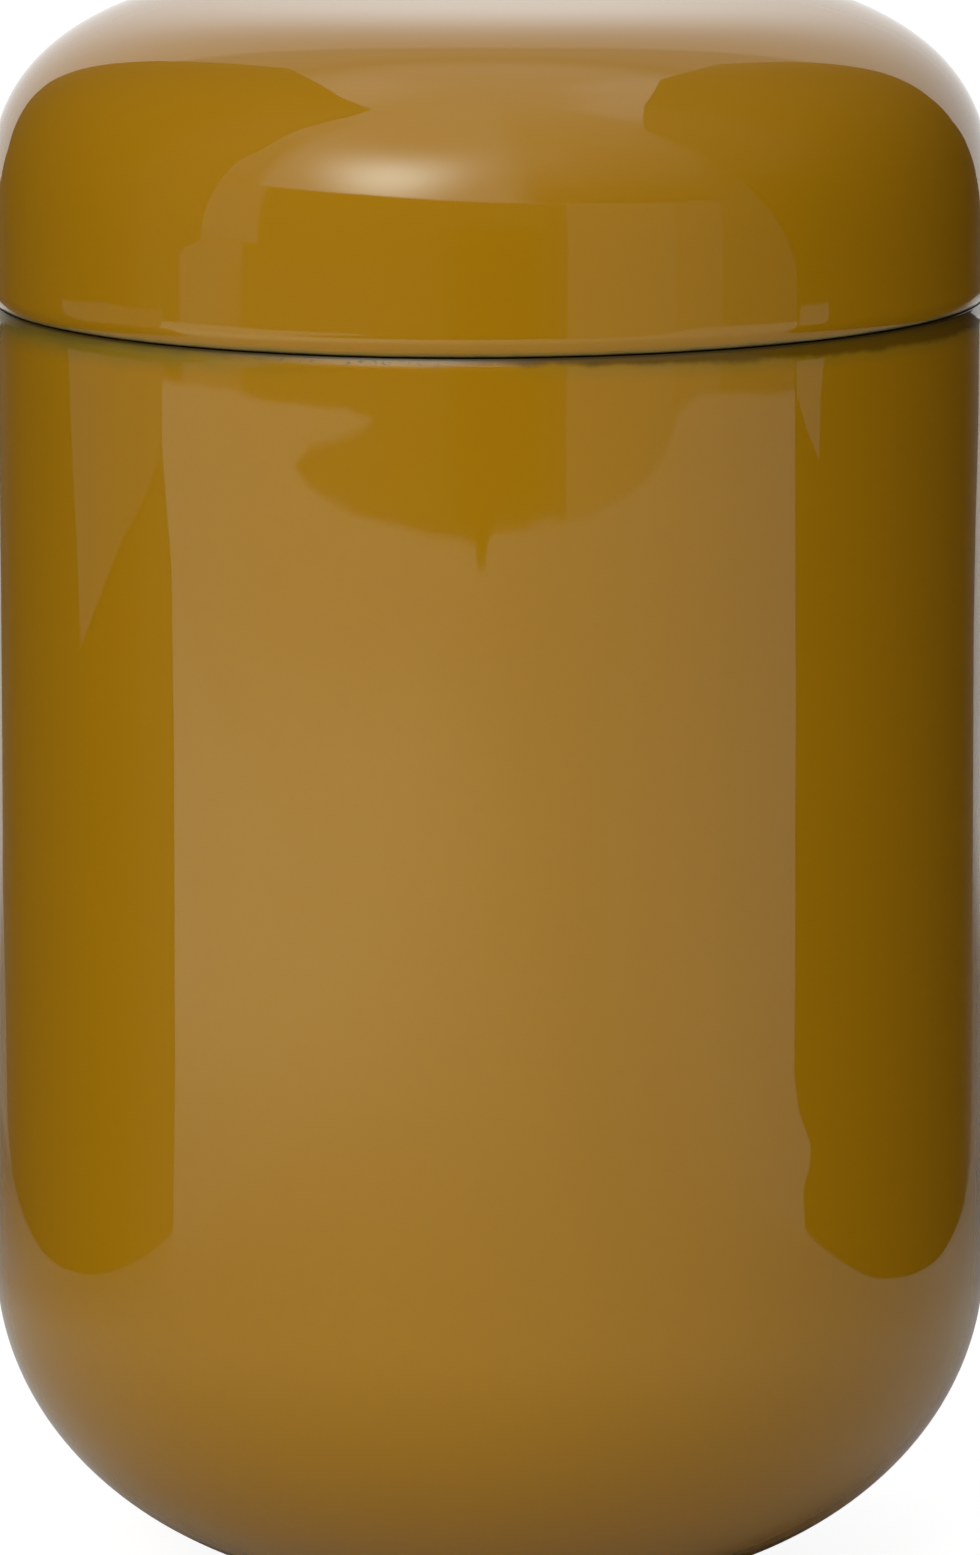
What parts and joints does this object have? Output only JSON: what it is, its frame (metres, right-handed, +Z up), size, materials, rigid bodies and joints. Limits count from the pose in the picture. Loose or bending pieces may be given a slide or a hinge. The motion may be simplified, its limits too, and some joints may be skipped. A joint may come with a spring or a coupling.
{
  "type": "storage canister",
  "caption": "Glossy enamelled storage canister with a rounded bottom, a rolled rim and a domed lift-off lid whose inner collar carries a soft seal into the mouth.",
  "frame": {"origin": "on the canister's axis, in the plane that it stands on", "axes": "+Z up along the canister's axis of turning; every direction around it is alike"},
  "size_m": [0.11, 0.11, 0.1756],
  "materials": {
    "enamel": "glossy mustard vitreous enamel on pressed steel, thinner and darker at the rolled edges",
    "collar": "moulded satin plastic",
    "silicone": "matt moulded silicone"
  },
  "bodies": {
    "canister": {"body_shell": "enamel"},
    "lid": {"lid_shell": "enamel", "lid_collar": "collar", "seal_ring": "silicone"}
  },
  "joints": [
    {"name": "lid_lift", "type": "slide", "parent": "canister", "child": "lid", "axis": [0, 0, 1], "range_m": [0, 0.08]}
  ]
}
